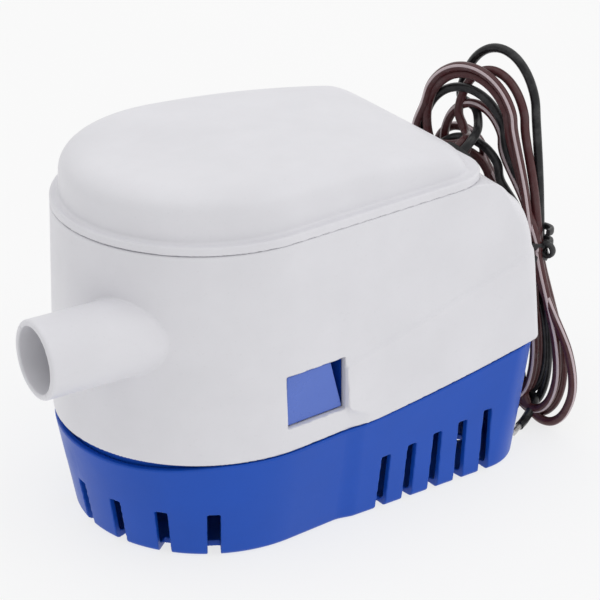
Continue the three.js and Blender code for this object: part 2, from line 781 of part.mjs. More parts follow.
function reedSwitch() {
  const profile = [[0, -9], [0.8, -8.6], [1.3, -7.6], [1.3, 7.6], [0.8, 8.6], [0, 9]];
  return new THREE.LatheGeometry(profile.map(([r, y]) => new THREE.Vector2(r, y)), 12)
    .translate(84, 0, 96.2);
}

// ---------------------------------------------------------------------------------------------
// Wires
// ---------------------------------------------------------------------------------------------

function grommet() {
  const { bore, body, flange, nose } = GROMMET;
  return onRoof(turned([
    [bore, 31.8], [flange, 31.8], [flange, 33], [body, 33], [body, 37.4],
    [flange, 37.4], [flange, 39.4], [flange - 1, 40], [bore + 1.1, nose], [bore, nose],
  ], 24));
}

// The three wires lie in a triangle inside the grommet: black, brown, and the striped one lowest.
function bundlePlace(number) {
  const angle = (5 / 6 - (2 / 3) * number) * Math.PI;
  return { across: 2.2 * Math.cos(angle), up: 2.2 * Math.sin(angle) };
}

// A point at a distance along the grommet's axis, for one wire of the three.
function alongGrommet(number, distance) {
  const { across, up } = bundlePlace(number);
  const diagonal = Math.SQRT1_2;
  return [
    ROOF_CENTRE.x + diagonal * (distance - up),
    across,
    ROOF_CENTRE.z + diagonal * (distance + up),
  ];
}

// From a motor terminal over the deck and down through its opening, on one side of the middle.
function motorLeadRoute(side) {
  const route = [[0, 13.4, 116], [6, 14, 127], [30, 11, 130], [62, 8, 128], [76, 6, 116], [92, 4, 106]];
  return route.map(([x, y, z]) => [x, side * y, z]);
}

const INNER_ROUTES = {
  inner_lead_black: motorLeadRoute(-1),
  inner_lead_brown: motorLeadRoute(1),
  inner_lead_striped: [[90, 0, 95.6], [95, 0, 97.5]],
};

function innerLead(name, number) {
  const through = [27, 31, 38, GROMMET.nose - 0.3].map((distance) => alongGrommet(number, distance));
  return wireTube([...INNER_ROUTES[name], ...through], 26);
}

function leadStub(number) {
  return wireTube([0.3, 2.5, 4.6].map((distance) => alongGrommet(number, GROMMET.nose + distance)), 4);
}

// Puts a geometry drawn with its thickness along X and its breadth along Y in the hank's plane.
function inHankPlane(geometry) {
  return geometry.rotateZ(HANK.turn).translate(HANK.x, HANK.y, 0);
}

// The outer shape of the hank: two lobes that the tie pinches, as [breadth, height] points.
function hankSolid() {
  const outline = [
    [8, 0.8], [-4, 2.5], [-11, 12], [-13.5, 27], [-11, 45], [-5, 62], [2, 76], [3, 92], [4, 113],
    [4.5, 134], [7.5, 149], [14, 157], [24, 158.5], [36, 153], [50, 146], [63, 137], [69, 124],
    [66, 112], [54, 106], [40, 101], [27, 92], [15, 79], [13, 66], [12.5, 44], [13, 24], [15.5, 9],
  ];
  const corners = outline.map(([breadth, height]) => new THREE.Vector3(breadth, height, 0));
  const curve = new THREE.CatmullRomCurve3(corners, true, 'centripetal');
  const ring = curve.getPoints(48).slice(0, -1);
  const shape = new THREE.Shape(ring.map(({ x, y }) => new THREE.Vector2(x, y)));
  const bevel = 2.5;
  const solid = new THREE.ExtrudeGeometry(shape, {
    depth: HANK.thickness - 2 * bevel,
    bevelEnabled: true,
    bevelSize: 2,
    bevelOffset: -2,
    bevelThickness: bevel,
    bevelSegments: 2,
  });
  // Drawn as (breadth, height, thickness): turn it so that the thickness runs along X.
  solid.translate(0, 0, bevel - HANK.thickness / 2).rotateX(Math.PI / 2).rotateZ(Math.PI / 2);
  return inHankPlane(solid);
}

// A twist tie round the hank's waist.
function hankTie() {
  const z = 78;
  const half = HANK.thickness / 2;
  const shell = (target, grow) => {
    const x0 = -half - grow;
    const x1 = half + grow;
    const y0 = 2.4 - grow;
    const y1 = 15.4 + grow;
    const r = 2 + grow;
    target.moveTo(x0 + r, y0);
    target.lineTo(x1 - r, y0);
    target.absarc(x1 - r, y0 + r, r, -Math.PI / 2, 0, false);
    target.absarc(x1 - r, y1 - r, r, 0, Math.PI / 2, false);
    target.absarc(x0 + r, y1 - r, r, Math.PI / 2, Math.PI, false);
    target.absarc(x0 + r, y0 + r, r, Math.PI, 1.5 * Math.PI, false);
    return target;
  };
  const ring = shell(new THREE.Shape(), 2.1);
  ring.holes.push(shell(new THREE.Path(), 0.9));
  const band = new THREE.ExtrudeGeometry(ring, { depth: 3, bevelEnabled: false, curveSegments: 3 });
  return inHankPlane(band.translate(0, 0, z - 1.5));
}

// The wires' ends leave the hank's foot and lie on the floor behind the base.
const TAILS = [
  { name: 'black', from: [132.6, -26], to: [127, -30] },
  { name: 'brown', from: [135, -12.5], to: [128, -17] },
  { name: 'striped', from: [137.5, -7.5], to: [130, -5] },
];
const TAIL_HEIGHT = WIRE / 2 + 0.3;
const TIP_LENGTH = 7;

function tailWire({ from, to }) {
  return wireTube([from, to].map(([x, y]) => [x, y, TAIL_HEIGHT]), 2);
}

function tailTip({ from, to }) {
  const direction = new THREE.Vector2(to[0] - from[0], to[1] - from[1]).normalize();
  const along = (distance) => [to[0] + direction.x * distance, to[1] + direction.y * distance, TAIL_HEIGHT];
  return wireTube([along(GAP), along(GAP + TIP_LENGTH)], 1, 1.1);
}

// ---------------------------------------------------------------------------------------------
// Assembly
// ---------------------------------------------------------------------------------------------

const pump = new THREE.Group();

function add(name, geometry, colour) {
  const [color, roughness, metalness] = COLOURS[colour];
  const material = new THREE.MeshStandardMaterial({ color, roughness, metalness, flatShading: true });
  const mesh = new THREE.Mesh(closed(geometry), material);
  mesh.name = name;
  pump.add(mesh);
}

add('main_housing', mainHousing(), 'white');
add('top_cap', topCap(), 'white');
add('cap_gasket', capGasket(), 'rubber');
add('strainer_base', strainerBase(), 'blue');
add('latch_tab_near', latchTab(), 'tabBlue');
add('latch_tab_far', mirrored(latchTab()), 'tabBlue');

add('volute_floor', volutePlate(), 'white');
SCREW_PLACES.forEach((place, i) => add(`volute_screw_${i + 1}`, plateScrew(place), 'steel'));
add('impeller', impellerWheel(), 'white');
add('impeller_nut', tube(SHAFT_RADIUS + GAP, 4, 44.1, 46.7, 6), 'steel');
add('shaft_seal', tube(SHAFT_RADIUS + 0.35, 6, 58.1, 61.2), 'rubber');

add('motor_shaft', post(SHAFT_RADIUS, 43.8, 114, 0, 0, 20), 'steel');
add('motor_can', motorCan(), 'zinc');
add('motor_end_bell', endBell(), 'carbon');
add('field_magnet_left', fieldMagnet(0), 'ferrite');
add('field_magnet_right', fieldMagnet(Math.PI), 'ferrite');
add('lower_bearing', tube(SHAFT_RADIUS + GAP, BEARING_RADIUS, 62.3, 66.8, 24), 'bronze');
add('upper_bearing', tube(SHAFT_RADIUS + GAP, BEARING_RADIUS, 106.6, 111.6, 24), 'bronze');
add('armature_core', armatureCore(), 'lamination');
add('armature_winding', armatureWinding(), 'copper');
add('commutator', commutatorRing(), 'copper');
for (const [side, label] of [[1, 'left'], [-1, 'right']]) {
  add(`brush_${label}`, brushBlock(side), 'carbon');
  add(`brush_arm_${label}`, brushArm(side), 'copper');
  add(`motor_terminal_${label}`, terminal(side), 'bronze');
}

add('float', floatBody(), 'float');
add('float_magnet', post(4, FLOAT.top - 4.6, FLOAT.top - 0.2, 84, 0, 20), 'ferrite');
add('float_pivot_pin', barY(PIVOT.radius, -PIVOT.half, PIVOT.half, PIVOT.x, PIVOT.z), 'steel');
add('switch_board', box(62, 104, -18, 18, SHELF_TOP + 0.6, SHELF_TOP + 2.2), 'board');
add('switch_relay', box(66, 80, -8, 8, SHELF_TOP + 2.5, SHELF_TOP + 11), 'rubber');
add('reed_switch', reedSwitch(), 'glass');

add('wire_grommet', grommet(), 'rubber');
Object.keys(INNER_ROUTES).forEach((name, i) => add(name, innerLead(name, i), i === 0 ? 'black' : 'brown'));
TAILS.forEach((tail, i) => {
  const colour = i === 0 ? 'black' : 'brown';
  add(`wire_lead_${tail.name}`, leadStub(i), colour);
  add(`wire_tail_${tail.name}`, tailWire(tail), colour);
  add(`wire_tip_${tail.name}`, tailTip(tail), 'tin');
});
add('wire_hank', hankSolid(), 'brown');
add('wire_tie', hankTie(), 'black');

// The pump's own box, without its wires, runs from the spigot's mouth to the skirt's rear edge.
const REAR_MOST = REAR_AT_RIM + 0.8;
pump.position.x = -(SPIGOT.mouth + REAR_MOST) / 2;

export default pump;
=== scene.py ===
import json
import math

import bpy
import numpy as np
from mathutils import Matrix, Vector


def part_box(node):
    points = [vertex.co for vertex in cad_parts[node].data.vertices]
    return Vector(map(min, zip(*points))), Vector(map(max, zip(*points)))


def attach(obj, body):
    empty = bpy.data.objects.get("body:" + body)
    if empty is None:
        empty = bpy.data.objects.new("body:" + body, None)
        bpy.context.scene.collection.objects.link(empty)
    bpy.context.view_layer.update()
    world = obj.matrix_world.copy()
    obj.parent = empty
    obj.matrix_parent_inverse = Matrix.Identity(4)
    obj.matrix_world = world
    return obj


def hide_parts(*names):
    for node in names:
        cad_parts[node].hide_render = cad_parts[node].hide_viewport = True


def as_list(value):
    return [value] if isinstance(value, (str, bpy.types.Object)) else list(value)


# The looks of an automatic submersible bilge pump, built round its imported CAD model.
# Shapes are worked out in millimetres about the motor's axis, with the hose spigot towards -X,
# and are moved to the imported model's frame, in metres, when their meshes are made.

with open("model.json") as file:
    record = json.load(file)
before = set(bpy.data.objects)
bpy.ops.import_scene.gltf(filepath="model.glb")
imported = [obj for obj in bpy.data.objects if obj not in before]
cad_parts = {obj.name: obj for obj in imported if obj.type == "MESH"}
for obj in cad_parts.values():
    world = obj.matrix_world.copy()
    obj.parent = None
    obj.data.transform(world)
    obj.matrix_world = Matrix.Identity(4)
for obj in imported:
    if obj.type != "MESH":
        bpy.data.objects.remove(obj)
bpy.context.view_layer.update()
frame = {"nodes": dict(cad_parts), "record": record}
NODES = frame["nodes"]

MM = 0.001
SHAFT_LOW, SHAFT_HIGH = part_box("motor_shaft")
AXIS_X = (SHAFT_LOW.x + SHAFT_HIGH.x) / 2


def to_frame(points):
    """Points in millimetres about the motor's axis, as rows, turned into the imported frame's metres."""
    out = np.asarray(points, float) * MM
    out[:, 0] += AXIS_X
    return out


def lerp(a, b, t):
    return a + (b - a) * t


# ---------------------------------------------------------------------------------------------
# Camera
# ---------------------------------------------------------------------------------------------

AZIMUTH = math.radians(-32.585)
ELEVATION = math.radians(25.556)
DISTANCE = 845.302          # mm, from the motor's axis at floor level, along the view
ACROSS, UP = -34.982, -71.203   # mm, the axis's place in the view
LENS, SENSOR = 132, 36
NEAR_CLIP = 0.05

right = Vector((math.cos(AZIMUTH), math.sin(AZIMUTH), 0))
back = Vector((
    math.sin(AZIMUTH) * math.cos(ELEVATION),
    -math.cos(AZIMUTH) * math.cos(ELEVATION),
    math.sin(ELEVATION),
))
up = back.cross(right)
eye = to_frame([DISTANCE * back - ACROSS * right - UP * up])[0]
camera_data = bpy.data.cameras.new("camera")
camera_data.lens = LENS
camera_data.sensor_width = SENSOR
camera_data.clip_start = NEAR_CLIP
camera = bpy.data.objects.new("camera", camera_data)
camera.matrix_world = Matrix.Translation(Vector(eye)) @ Matrix((right, up, back)).transposed().to_4x4()
bpy.context.scene.collection.objects.link(camera)
bpy.context.scene.camera = camera

# ---------------------------------------------------------------------------------------------
# Cords: three wires leave the grommet, are folded into a tied hank, and end bare on the floor
# ---------------------------------------------------------------------------------------------

WIRE = 3.6                  # mm, a wire's diameter over its cover
HANK_FOOT = np.array([141.7, -30.0, 0.0])
HANK_TURN = math.radians(18)
BREADTH = np.array([-math.sin(HANK_TURN), math.cos(HANK_TURN), 0.0])
THICKNESS = np.array([math.cos(HANK_TURN), math.sin(HANK_TURN), 0.0])
WAIST = 78.0                # mm, the tie's height
TIP_LENGTH = 6.5            # mm of bare wire past the end of the cover

# A turn's upper lobe is an ellipse: its centre along the hank's breadth, its centre's height, its two
# half sizes, and how far it lies through the hank's thickness. A lower lobe hangs from the waist as a drop:
# its middle along the breadth, its bottom's height above the floor, its half width and its place through
# the thickness.
WIRES = {
    "black": {
        "lead": [(114.6, -1.9, 113.7), (118.6, -1.9, 117.0), (123.4, 0.6, 119.4), (128.0, 6.0, 121.2),
                 (131.0, 12.4, 124.2)],
        "join": 6,
        "waist": {"down": (10.8, 14.2, 17.6), "up": (24.6, 21.2), "layer": 3.7},
        "upper": [(34, 124, 18, 26, 5.0), (45, 112, 20, 21, -1.0), (44, 98, 16, 14, 0.0)],
        "lower": [(13.8, 2.2, 10.0, 3.2), (16.3, 6.0, 8.5, 3.6), (12.6, 9.0, 8.0, 2.0)],
        "tail": [(139.4, -23.4, 8.0), (136.0, -25.6, 5.4), (131.8, -27.2, 2.6), (127.2, -29.6, 2.1)],
    },
    "brown": {
        "lead": [(114.6, 1.9, 113.7), (118.4, 2.4, 116.0), (122.6, 5.4, 115.6), (126.0, 10.4, 114.6),
                 (127.4, 14.6, 116.4)],
        "join": 6,
        "waist": {"down": (9.0, 12.6, 16.2), "up": (23.4, 19.8), "layer": 0.0},
        "upper": [(34, 119, 16, 23, 1.0), (42, 118, 20, 22, -3.6), (48, 92, 13, 13, 3.6)],
        "lower": [(7.2, 2.4, 13.0, 0.0), (17.3, 6.0, 9.0, -0.4), (14.5, 9.0, 8.0, 0.6)],
        "tail": [(138.8, -16.0, 8.2), (135.6, -17.2, 5.4), (131.6, -18.4, 2.6), (127.8, -20.2, 2.1)],
    },
    "striped": {
        "lead": [(116.9, 0.0, 111.4), (119.6, 1.6, 113.2), (121.6, 7.6, 112.6), (121.8, 16.6, 109.2),
                 (119.8, 26.0, 107.8), (117.2, 32.2, 112.2)],
        "join": 8,
        "waist": {"down": (10.4, 7.0, 13.8), "up": (20.6, 17.2), "layer": -3.7},
        "upper": [(41, 121, 21.5, 22.5, -4.8), (43, 108, 14.5, 18, 2.4), (52, 101, 12, 12, 6.6)],
        "lower": [(-0.2, 2.0, 12.6, -3.4), (5.7, 6.0, 11.0, -3.8), (15.0, 9.0, 9.0, -3.6)],
        "tail": [(137.4, -8.2, 8.2), (134.8, -7.0, 5.4), (131.8, -6.2, 2.6), (129.4, -5.6, 2.1)],
    },
}
LOBE_STEPS = 8              # steps round each upper lobe
DROP_STEP = 24              # degrees between points of a lower lobe
LAST_DROP_END = 190         # degrees, where a wire leaves its last lobe for its tail
LOBE_RESTART = -50          # degrees, where a wire joins its next upper lobe


def in_hank(breadth, height, layer):
    return HANK_FOOT + breadth * BREADTH + layer * THICKNESS + np.array([0, 0, height])


def on_upper(lobe, degrees):
    breadth, height, half_breadth, half_height, layer = lobe
    angle = math.radians(degrees)
    return in_hank(breadth + half_breadth * math.cos(angle), height + half_height * math.sin(angle), layer)


def on_lower(lobe, degrees, waist, down, rising):
    """A drop's outline, from the waist at 0 degrees down its right side, and up again to the waist at 360."""
    middle, bottom, half, layer = lobe
    angle = math.radians(degrees)
    fallen = (1 - math.cos(angle)) / 2
    at_waist = lerp(down, rising, degrees / 360)
    bulge = math.sin(angle) * math.sin(angle / 2) ** 1.3 / 0.73
    centre = lerp(at_waist, middle, min(1.6 * fallen, 1) ** 1.5)
    return in_hank(centre - half * bulge, WAIST - (WAIST - bottom) * fallen, lerp(waist, layer, fallen))


def part_way(waist_point, lobe_point):
    """A point of the strand between the tie and an upper lobe, which still keeps near the tie's line."""
    share = np.array([0.4, 0.4, 0.5])
    return waist_point + share * (lobe_point - waist_point)


def wire_route(wire):
    """The lead, then the hank's turns, each over its upper lobe and round its lower one, then the tail."""
    route = [np.array(place) for place in wire["lead"]]
    waist = wire["waist"]
    layer = waist["layer"]
    start = wire["join"]
    last = len(wire["upper"]) - 1
    for number, (upper, lower) in enumerate(zip(wire["upper"], wire["lower"])):
        down = waist["down"][number]
        rising = waist["up"][min(number, last - 1)]
        route += [on_upper(upper, lerp(start, 180, i / LOBE_STEPS)) for i in range(LOBE_STEPS + 1)]
        route.append(part_way(in_hank(down, WAIST, layer), on_upper(upper, 180)))
        end = LAST_DROP_END if number == last else 360
        route += [on_lower(lower, angle, layer, down, rising) for angle in range(0, end, DROP_STEP)]
        if number < last:
            start = LOBE_RESTART
            above = on_upper(wire["upper"][number + 1], start)
            route.append(in_hank(rising, WAIST, layer))
            route.append(part_way(route[-1], above))
    return np.array(route + [np.array(place) for place in wire["tail"]])


def smooth_line(points, steps=7):
    """A Catmull-Rom curve through the points."""
    padded = np.vstack([2 * points[0] - points[1], points, 2 * points[-1] - points[-2]])
    line = []
    for a, b, c, d in zip(padded, padded[1:], padded[2:], padded[3:]):
        for i in range(steps):
            t = i / steps
            line.append(0.5 * (2 * b + (c - a) * t + (2 * a - 5 * b + 4 * c - d) * t * t
                               + (3 * b - a - 3 * c + d) * t ** 3))
    line.append(points[-1])
    return np.array(line)


def unit(vectors):
    return vectors / np.maximum(np.linalg.norm(vectors, axis=-1, keepdims=True), 1e-9)


def swept(name, line, rise, section):
    """A closed mesh along a line. section gives, for a point's number, its (out, across) offsets."""
    tangent = unit(np.gradient(line, axis=0))
    outward = unit(rise - (rise * tangent).sum(1)[:, None] * tangent)
    across = np.cross(tangent, outward)
    rings = [[line[i] + a * outward[i] + b * across[i] for a, b in section(i)] for i in range(len(line))]
    count = len(rings[0])
    faces = []
    for i in range(len(rings) - 1):
        here, there = i * count, (i + 1) * count
        for j in range(count):
            k = (j + 1) % count
            faces.append((here + j, here + k, there + k, there + j))
    faces.append(tuple(reversed(range(count))))
    faces.append(tuple(range((len(rings) - 1) * count, len(rings) * count)))
    mesh = bpy.data.meshes.new(name)
    mesh.from_pydata(to_frame(np.concatenate(rings)).tolist(), [], faces)
    mesh.polygons.foreach_set("use_smooth", [len(face) == 4 for face in faces])
    obj = bpy.data.objects.new(name, mesh)
    bpy.context.scene.collection.objects.link(obj)
    return obj


def wire_curve(name, line):
    data = bpy.data.curves.new(name, "CURVE")
    data.dimensions = "3D"
    data.bevel_depth = WIRE / 2 * MM
    data.bevel_resolution = 5
    data.use_fill_caps = True
    spline = data.splines.new("POLY")
    spline.points.add(len(line) - 1)
    for point, place in zip(spline.points, to_frame(line)):
        point.co = (*place, 1)
    spline.use_smooth = True
    obj = bpy.data.objects.new(name, data)
    bpy.context.scene.collection.objects.link(obj)
    return obj


def bare_tip(name, line):
    """The wire's twisted strands, tinned together, past the end of its cover."""
    strands, bulge, steps = 7, 0.13, 26
    along = unit(line[-1] - line[-2])
    reach = np.linspace(-1.0, TIP_LENGTH, steps)
    core = line[-1] + reach[:, None] * along

    def section(i):
        radius = 1.12 if i < steps - 1 else 0.7
        turn = 0.34 * i
        angles = np.linspace(0, 2 * math.pi, 4 * strands, endpoint=False)
        radii = [radius + bulge * math.cos(strands * (a - turn)) for a in angles]
        return [(r * math.cos(a), r * math.sin(a)) for r, a in zip(radii, angles)]

    return swept(name, core, np.tile([0.0, 0.0, 1.0], (len(core), 1)), section)


def printed_stripe(name, line):
    """A pale stripe moulded in the cover, which wanders about the wire's outer side."""
    tangent = unit(np.gradient(line, axis=0))
    steadiness = 0.25
    half_width = 0.3
    outward = np.cross(tangent, THICKNESS)
    for i in range(1, len(outward)):
        outward[i] += steadiness * outward[i - 1]
        outward[i] -= outward[i].dot(tangent[i]) * tangent[i]
        outward[i] /= np.linalg.norm(outward[i])
    front = np.cross(outward, tangent)
    front *= np.where(front @ THICKNESS > 0, -1, 1)[:, None]
    run = np.concatenate([[0], np.cumsum(np.linalg.norm(np.diff(line, axis=0), axis=1))])
    angle = (0.75 + 0.5 * np.sin(run / 61.0 + 0.6))[:, None]
    rise = np.cos(angle) * outward + np.sin(angle) * front
    skin, sunk = WIRE / 2 + 0.05, WIRE / 2 - 0.25
    section = [(skin * math.cos(a), skin * math.sin(a)) for a in np.linspace(-half_width, half_width, 6)]
    section += [(sunk * math.cos(a), sunk * math.sin(a)) for a in np.linspace(half_width, -half_width, 4)]
    return swept(name, line, rise, lambda i: section)


def twist_tie():
    """Two wraps of a flattened tie about the waist, whose end is bent into an open eye."""
    centre, half_breadth, half_thickness = 15.4, 10.4, 7.2
    top, fall, squareness, steps = 82, 10, 3, 72
    line, rise = [], []
    for i in range(steps + 1):
        angle = math.pi * (1 + 4 * i / steps)
        c, q = math.cos(angle), math.sin(angle)
        out = (abs(c) ** squareness + abs(q) ** squareness) ** (-1 / squareness)
        height = top - fall * i / steps
        line.append(in_hank(centre + half_breadth * out * c, height, -half_thickness * out * q))
        rise.append(c * BREADTH - q * THICKNESS)
    eye = in_hank(3.6, 76.0, -2.5)
    eye_radius = 2.7
    for i in range(22):
        angle = -1.9 + 0.3 * i
        spoke = -math.sin(angle) * np.array([0.0, 0.0, 1.0]) - math.cos(angle) * BREADTH
        line.append(eye + eye_radius * spoke + 0.06 * i * THICKNESS)
        rise.append(spoke)
    corners = [(0.55, 1.0), (0.75, 0.5), (0.75, -0.5), (0.55, -1.0),
               (-0.55, -1.0), (-0.75, -0.5), (-0.75, 0.5), (-0.55, 1.0)]
    line = smooth_line(np.array(line), 2)
    rise = smooth_line(np.array(rise), 2)
    return swept("tie_band", line, rise, lambda i: [(1.1 * a, 1.25 * b) for a, b in corners])


wire_pieces = []
for wire_name, wire in WIRES.items():
    line = smooth_line(wire_route(wire))
    cord = wire_curve(f"cord_{wire_name}", line)
    tip = bare_tip(f"tip_{wire_name}", line)
    riders = [tip]
    if wire_name == "striped":
        riders.append(printed_stripe("stripe", line))
    to_frame([line[0]])[0]
    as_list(riders)
    wire_pieces.append((wire_name, cord, riders))
tie_band = twist_tie()

# ---------------------------------------------------------------------------------------------
# Materials
# ---------------------------------------------------------------------------------------------


class Nodes:
    """A short way to build a node material."""

    def __init__(self, name):
        self.material = bpy.data.materials.new(name)
        self.material.use_nodes = True
        self.tree = self.material.node_tree
        self.shader = self.tree.nodes["Principled BSDF"]
        self.place = self.add("ShaderNodeTexCoord").outputs["Object"]

    def add(self, kind, **settings):
        node = self.tree.nodes.new(kind)
        for key, value in settings.items():
            setattr(node, key, value)
        return node

    def link(self, source, target):
        self.tree.links.new(source, target)

    def stretched(self, scale):
        mapping = self.add("ShaderNodeMapping")
        mapping.inputs["Scale"].default_value = scale
        self.link(self.place, mapping.inputs["Vector"])
        return mapping.outputs["Vector"]

    def noise(self, scale, detail=2.0, roughness=0.5, vector=None):
        node = self.add("ShaderNodeTexNoise")
        node.inputs["Scale"].default_value = scale
        node.inputs["Detail"].default_value = detail
        node.inputs["Roughness"].default_value = roughness
        self.link(vector or self.place, node.inputs["Vector"])
        return node.outputs["Fac"]

    def spread(self, value, low, high, from_low=0.3, from_high=0.7):
        node = self.add("ShaderNodeMapRange")
        node.inputs["From Min"].default_value = from_low
        node.inputs["From Max"].default_value = from_high
        node.inputs["To Min"].default_value = low
        node.inputs["To Max"].default_value = high
        self.link(value, node.inputs["Value"])
        return node.outputs["Result"]

    def mix(self, factor, first, second):
        node = self.add("ShaderNodeMix", data_type="RGBA")
        self.link(factor, node.inputs["Factor"])
        for socket, value in ((node.inputs[6], first), (node.inputs[7], second)):
            if isinstance(value, (tuple, list)):
                socket.default_value = (*value, 1)
            else:
                self.link(value, socket)
        return node.outputs[2]

    def bump(self, height, strength, distance, normal=None):
        node = self.add("ShaderNodeBump")
        node.inputs["Strength"].default_value = strength
        node.inputs["Distance"].default_value = distance
        self.link(height, node.inputs["Height"])
        if normal is not None:
            self.link(normal, node.inputs["Normal"])
        return node.outputs["Normal"]

    def colour(self, value):
        self.link(value, self.shader.inputs["Base Color"])

    def roughness(self, value):
        self.link(value, self.shader.inputs["Roughness"])

    def normal(self, value):
        self.link(value, self.shader.inputs["Normal"])

    def set(self, **values):
        for key, value in values.items():
            self.shader.inputs[key.replace("_", " ")].default_value = value


def shade(colour, factor):
    return tuple(min(channel * factor, 1.0) for channel in colour)


def moulded(name, colour, rough=0.38, grain=0.12, cloud=0.03, gloss=0.5):
    """Injection moulded plastic: faint flow clouds, a fine spark-eroded grain and rubbed patches."""
    n = Nodes(name)
    clouds = n.noise(28, 4, 0.6)
    specks = n.noise(900, 2, 0.6)
    base = n.mix(n.spread(clouds, 0, 1), shade(colour, 1 - cloud), shade(colour, 1 + cloud))
    n.colour(n.mix(n.spread(specks, 0, 0.35, 0.62, 0.75), base, shade(colour, 1 - 3 * cloud)))
    rubbed = n.noise(46, 5, 0.65)
    n.roughness(n.spread(rubbed, rough - 0.06, rough + 0.08))
    grain_normal = n.bump(n.noise(2600, 3, 0.6), grain, 0.0001)
    n.normal(n.bump(n.noise(75, 2, 0.4), 0.05, 0.001, grain_normal))
    n.set(IOR=1.5, Specular_IOR_Level=gloss)
    return n.material


def brushed(name, colour, rough=0.34, along=(30, 30, 2200)):
    """Drawn or turned metal, with fine lines across its length and a little staining."""
    n = Nodes(name)
    lines = n.noise(1, 4, 0.6, n.stretched(along))
    stain = n.noise(140, 4, 0.6)
    n.colour(n.mix(n.spread(stain, 0, 1), shade(colour, 0.82), shade(colour, 1.06)))
    n.roughness(n.spread(lines, rough - 0.08, rough + 0.12))
    n.normal(n.bump(lines, 0.25, 0.0001))
    n.set(Metallic=1.0)
    return n.material


def granular(name, colour, scale, depth, rough=0.75, metallic=0.0):
    """A pressed or sintered body with visible grains."""
    n = Nodes(name)
    grains = n.add("ShaderNodeTexVoronoi")
    grains.inputs["Scale"].default_value = scale
    n.link(n.place, grains.inputs["Vector"])
    cells = grains.outputs["Distance"]
    n.colour(n.mix(n.spread(cells, 0, 1, 0.1, 0.8), shade(colour, 1.25), shade(colour, 0.7)))
    n.roughness(n.spread(n.noise(scale / 3), rough - 0.1, rough + 0.1))
    n.normal(n.bump(cells, 0.5, depth))
    n.set(Metallic=metallic)
    return n.material


def banded(name, dark, light, pitch, direction, metallic, rough):
    """Evenly repeated lines along one axis: stacked laminations or wound wire."""
    n = Nodes(name)
    wave = n.add("ShaderNodeTexWave", bands_direction=direction)
    wave.inputs["Scale"].default_value = math.pi / (10 * pitch)
    wave.inputs["Distortion"].default_value = 0.4
    n.link(n.place, wave.inputs["Vector"])
    lines = wave.outputs["Fac"]
    n.colour(n.mix(lines, dark, light))
    n.roughness(n.spread(n.noise(300), rough - 0.08, rough + 0.08))
    n.normal(n.bump(lines, 0.6, 0.0002))
    n.set(Metallic=metallic)
    return n.material


def rubber(name):
    n = Nodes(name)
    n.colour(n.mix(n.spread(n.noise(60, 4), 0, 1), (0.012, 0.012, 0.013), (0.03, 0.03, 0.032)))
    n.roughness(n.spread(n.noise(320, 4), 0.55, 0.8))
    n.normal(n.bump(n.noise(1800, 3), 0.3, 0.0001))
    return n.material


def glass(name):
    n = Nodes(name)
    n.colour(n.mix(n.spread(n.noise(200), 0, 1), (0.75, 0.86, 0.83), (0.85, 0.92, 0.9)))
    n.roughness(n.spread(n.noise(500), 0.03, 0.1))
    n.set(Transmission_Weight=0.85, IOR=1.5)
    return n.material


def circuit_board(name):
    """Green solder mask with paler copper tracks under it."""
    n = Nodes(name)
    tracks = n.add("ShaderNodeTexBrick")
    tracks.inputs["Scale"].default_value = 260
    tracks.inputs["Mortar Size"].default_value = 0.03
    n.link(n.place, tracks.inputs["Vector"])
    n.colour(n.mix(tracks.outputs["Fac"], (0.012, 0.1, 0.035), (0.05, 0.22, 0.08)))
    n.roughness(n.spread(n.noise(150, 4), 0.25, 0.45))
    n.normal(n.bump(tracks.outputs["Fac"], 0.4, 0.0001))
    return n.material


def wire_cover(name, colour, rough=0.3):
    """Glossy extruded PVC with faint draw lines, a little dust and a wavering surface."""
    n = Nodes(name)
    dust = n.noise(170, 5, 0.7)
    n.colour(n.mix(n.spread(dust, 0, 1, 0.45, 0.8), colour, tuple(0.75 * c + 0.05 for c in colour)))
    n.roughness(n.spread(n.noise(240, 4), rough - 0.06, rough + 0.12))
    ripples = n.bump(n.noise(420, 2), 0.12, 0.0006)
    n.normal(n.bump(n.noise(3200, 2), 0.12, 0.0001, ripples))
    n.set(IOR=1.5, Specular_IOR_Level=0.34, Coat_Weight=0.1, Coat_Roughness=0.2)
    return n.material


WHITE = (0.735, 0.73, 0.765)
BLUE = (0.006, 0.074, 0.46)
TAB_BLUE = (0.085, 0.16, 0.56)
MAROON = (0.072, 0.018, 0.02)
BLACK = (0.006, 0.006, 0.0075)
STRIPE = (0.56, 0.46, 0.48)

